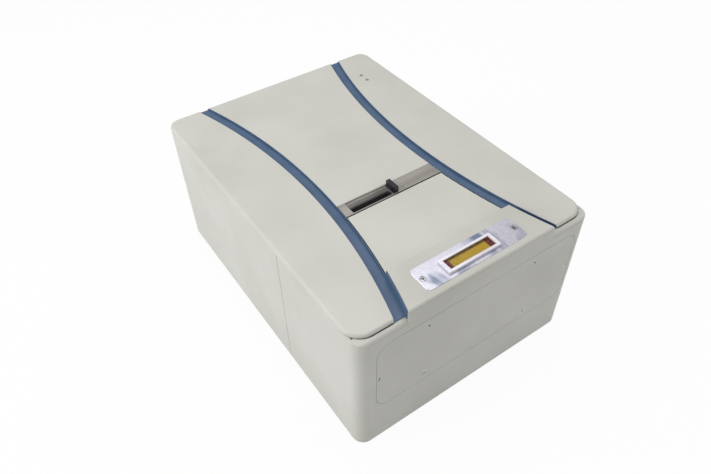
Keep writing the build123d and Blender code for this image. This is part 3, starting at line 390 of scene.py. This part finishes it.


# Painted shade: the dark colour of the cords laid into gaps, where there is only shade.
painted_gap_shade = surface("painted_gap_shade", srgb(14, 17, 17), srgb(28, 32, 30), tone_scale=150.0,
                      rough=(0.55, 0.7), grain=1500.0, bump_mm=0.01)
body_low, body_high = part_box("front_housing")
panel_low, panel_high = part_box("front_centre_panel")
strip_low, strip_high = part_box("slot_bezel_plate")
cover_low, cover_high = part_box("top_cover")
access_low, access_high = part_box("front_access_panel")
shell_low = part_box("rear_housing")[0]

# The channels' inner edges are parts of two large circles.
ARC_CENTRE = 0.8874
INNER_ARC = 0.8153
SIDE_GAP = 0.0012

# Painted shade: a dark cord fills most of the gap between the slot's strip and the front centre panel,
# standing in for the shade in that gap.
SLOT_SHADE_SHARE = 0.47
SLOT_SHADE_DEPTH = 0.001
slot_gap = strip_low.y - panel_high.y
gap_y = (strip_low.y + panel_high.y) / 2
slot_shade_z = panel_high.z - SLOT_SHADE_DEPTH
slot_route = [(side * strip_high.x, gap_y, slot_shade_z) for side in (-1, 1)]
round_cord("slot_gap_shade", [slot_route], slot_gap * SLOT_SHADE_SHARE)

# Painted shade: dark cords follow the curved gaps at the two sides of the front centre panel, standing in
# for the shade in them.
SIDE_SHADE_CORD = 0.00052
SIDE_SHADE_DEPTH = 0.0009
SIDE_STEPS = 24
middle_arc = INNER_ARC + SIDE_GAP / 2
side_routes = []
for side in (-1, 1):
    route = []
    for i in range(SIDE_STEPS + 1):
        y = panel_low.y + (panel_high.y - panel_low.y) * i / SIDE_STEPS
        x = side * (ARC_CENTRE - math.sqrt(middle_arc ** 2 - y ** 2))
        route.append((x, y, panel_high.z - SIDE_SHADE_DEPTH))
    side_routes.append(route)
round_cord("panel_side_gap_shades", side_routes, SIDE_SHADE_CORD)

# Painted shade: an upright dark cord lies in the seam of the two housings, at each side, standing in for
# the shade in the seam.
seam_y = (body_high.y + shell_low.y) / 2
SEAM_SHADE_CORD = 0.00019
SEAM_DEPTH = 0.00025
seam_x = body_high.x - SEAM_DEPTH
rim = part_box("rear_housing")[1].z
seam_routes = [[(side * seam_x, seam_y, z) for z in (body_low.z, rim)] for side in (-1, 1)]
round_cord("seam_gap_shades", seam_routes, SEAM_SHADE_CORD)

# Painted shade: a closed dark cord runs round the access panel in its gap, with the panel's rounded
# corners, standing in for the shade there.
PANEL_CORNER = 0.0202
PANEL_SHADE_CORD = 0.0002
PANEL_SHADE_DEPTH = 0.0003
CORNER_STEPS = 12
half_x = (access_high.x - access_low.x) / 2 + PANEL_SHADE_CORD - PANEL_CORNER
half_z = (access_high.z - access_low.z) / 2 + PANEL_SHADE_CORD - PANEL_CORNER
cord_y = access_low.y + PANEL_SHADE_DEPTH
ring = []
for x, z, start in ((1, 1, 0), (-1, 1, 90), (-1, -1, 180), (1, -1, 270)):
    middle_x = (access_low.x + access_high.x) / 2 + x * half_x
    middle_z = (access_low.z + access_high.z) / 2 + z * half_z
    corner = arc_points((middle_x, middle_z), PANEL_CORNER, start, start + 90, CORNER_STEPS)
    ring += [(px, cord_y, pz) for px, pz in corner]
round_cord("access_panel_gap_shade", [ring], PANEL_SHADE_CORD, closed=True)

# Painted shade: under the cover's front edge a dark cord shows between channel and corner, and runs in
# under the corner, standing in for the shade below the edge.
COVER_CORNER = 0.024
COVER_SHADE_CORD = 0.0005
WING_START = 0.1236
CORD_OUT = 0.0003
CORD_TUCK = 0.0012
CORD_TURN = 75
COVER_STEPS = 16
cover_front = cover_low.y
centre_x = cover_high.x - COVER_CORNER
centre_y = cover_front + COVER_CORNER
cord_z = rim + COVER_SHADE_CORD
front_routes = []
for side in (-1, 1):
    route = [(side * WING_START, cover_front - CORD_OUT, cord_z)]
    for i in range(COVER_STEPS + 1):
        share = i / COVER_STEPS
        angle = math.radians(-90 + CORD_TURN * share)
        reach = COVER_CORNER + CORD_OUT - CORD_TUCK * share
        x = side * (centre_x + reach * math.cos(angle))
        route.append((x, centre_y + reach * math.sin(angle), cord_z))
    front_routes.append(route)
round_cord("cover_front_gap_shades", front_routes, COVER_SHADE_CORD)

# A pressed ring stands round each screw of the display plate.
RING_GAP = 0.0006
RING_WIRE = 0.0003
RING_STEPS = 32
screw_low, screw_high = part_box("display_plate_screws")
head = (screw_high.y - screw_low.y) / 2
ring_routes = []
for x in (screw_low.x + head, screw_high.x - head):
    circle = arc_points((x, screw_low.y + head), head + RING_GAP, 0, 360, RING_STEPS)[:-1]
    ring_routes.append([(px, py, plate_face + RING_WIRE / 2) for px, py in circle])
round_cord("plate_rings", ring_routes, RING_WIRE, closed=True, finish=screw)


def floor_material():
    """White table that keeps a soft shadow and looks white to the camera."""
    g = Graph("floor_white")
    diffuse = g.add("ShaderNodeBsdfDiffuse")
    g.link(g.mix(g.noise(2.0), (0.86, 0.86, 0.86, 1.0), (0.88, 0.88, 0.88, 1.0)), diffuse.inputs["Color"])
    glow = g.add("ShaderNodeEmission")
    path = g.add("ShaderNodeLightPath")
    seen = g.math("ADD", path.outputs["Is Camera Ray"], path.outputs["Is Glossy Ray"])
    seen = g.math("ADD", seen, path.outputs["Is Transmission Ray"])
    white_share = 0.95
    share = g.math("MULTIPLY", g.math("MINIMUM", seen, 1.0), white_share)
    joined = g.add("ShaderNodeMixShader")
    g.link(share, joined.inputs[0])
    g.link(diffuse.outputs["BSDF"], joined.inputs[1])
    g.link(glow.outputs["Emission"], joined.inputs[2])
    g.link(joined.outputs["Shader"], g.out.inputs["Surface"])
    return g.material


FLOOR_SIZE = 40.0
FLOOR_DROP = 0.0002
bpy.ops.mesh.primitive_plane_add(size=FLOOR_SIZE, location=(0.0, 0.0, -FLOOR_DROP))
floor = bpy.context.object
floor.name = "floor"
floor.data.materials.append(floor_material())


def area_light(name, place, aim, size, power):
    """Rectangular soft lamp at a place, turned to the point it aims at."""
    data = bpy.data.lights.new(name, "AREA")
    data.shape = "RECTANGLE"
    data.size = size[0]
    data.size_y = size[1]
    data.energy = power
    lamp = bpy.data.objects.new(name, data)
    bpy.context.scene.collection.objects.link(lamp)
    lamp.location = place
    lamp.rotation_euler = (Vector(aim) - Vector(place)).to_track_quat("-Z", "Y").to_euler()


area_light("left_box", place=(-1.7, 0.35, 0.95), aim=(0.0, 0.0, 0.1), size=(1.4, 1.2), power=16.5)
area_light("top_box", place=(0.1, 0.3, 1.8), aim=(0.0, 0.0, 0.2), size=(1.6, 1.6), power=14.6)
area_light("right_box", place=(1.6, -1.3, 0.9), aim=(0.1, -0.2, 0.1), size=(0.9, 0.9), power=3.2)

# The world is white to the camera and gives a dimmer light to everything else.
WORLD_LIGHT = 0.39
world = bpy.data.worlds.new("studio")
bpy.context.scene.world = world
world.use_nodes = True
tree = world.node_tree
tree.nodes.clear()
out = tree.nodes.new("ShaderNodeOutputWorld")
ground = tree.nodes.new("ShaderNodeBackground")
ground.inputs["Color"].default_value = (1.0, 1.0, 1.0, 1.0)
path = tree.nodes.new("ShaderNodeLightPath")
either = tree.nodes.new("ShaderNodeMath")
either.operation = "ADD"
tree.links.new(path.outputs["Is Camera Ray"], either.inputs[0])
tree.links.new(path.outputs["Is Transmission Ray"], either.inputs[1])
level = tree.nodes.new("ShaderNodeMapRange")
level.clamp = True
level.inputs["To Min"].default_value = WORLD_LIGHT
level.inputs["To Max"].default_value = 1.0
tree.links.new(either.outputs[0], level.inputs["Value"])
tree.links.new(level.outputs["Result"], ground.inputs["Strength"])
tree.links.new(ground.outputs["Background"], out.inputs["Surface"])

# The camera looks at the photograph's view, from above the front left corner.
FOCAL_PIXELS = 639.63
FRAME_WIDTH = 711.0
SENSOR_WIDTH = 36.0
AZIMUTH = math.radians(-33.73)
ELEVATION = math.radians(44.95)
ROLL = math.radians(-1.39)
AIM = Vector((0.0, -0.069, 0.108))
SHIFT_RIGHT = 0.04819
SHIFT_UP = -0.01766
DISTANCE = 0.8957

level_reach = math.cos(ELEVATION)
back = Vector((math.sin(AZIMUTH) * level_reach, -math.cos(AZIMUTH) * level_reach, math.sin(ELEVATION)))
right = Vector((math.cos(AZIMUTH), math.sin(AZIMUTH), 0.0))
up = back.cross(right)
tilted_right = math.cos(ROLL) * right + math.sin(ROLL) * up
tilted_up = math.cos(ROLL) * up - math.sin(ROLL) * right
place = AIM - SHIFT_RIGHT * tilted_right - SHIFT_UP * tilted_up + DISTANCE * back
turn = Matrix((tilted_right, tilted_up, back)).transposed().to_4x4()

camera_data = bpy.data.cameras.new("camera")
camera_data.sensor_width = SENSOR_WIDTH
camera_data.lens = SENSOR_WIDTH * FOCAL_PIXELS / FRAME_WIDTH
camera = bpy.data.objects.new("camera", camera_data)
bpy.context.scene.collection.objects.link(camera)
camera.matrix_world = Matrix.Translation(place) @ turn
bpy.context.scene.camera = camera

bpy.context.scene.view_settings.view_transform = "Standard"
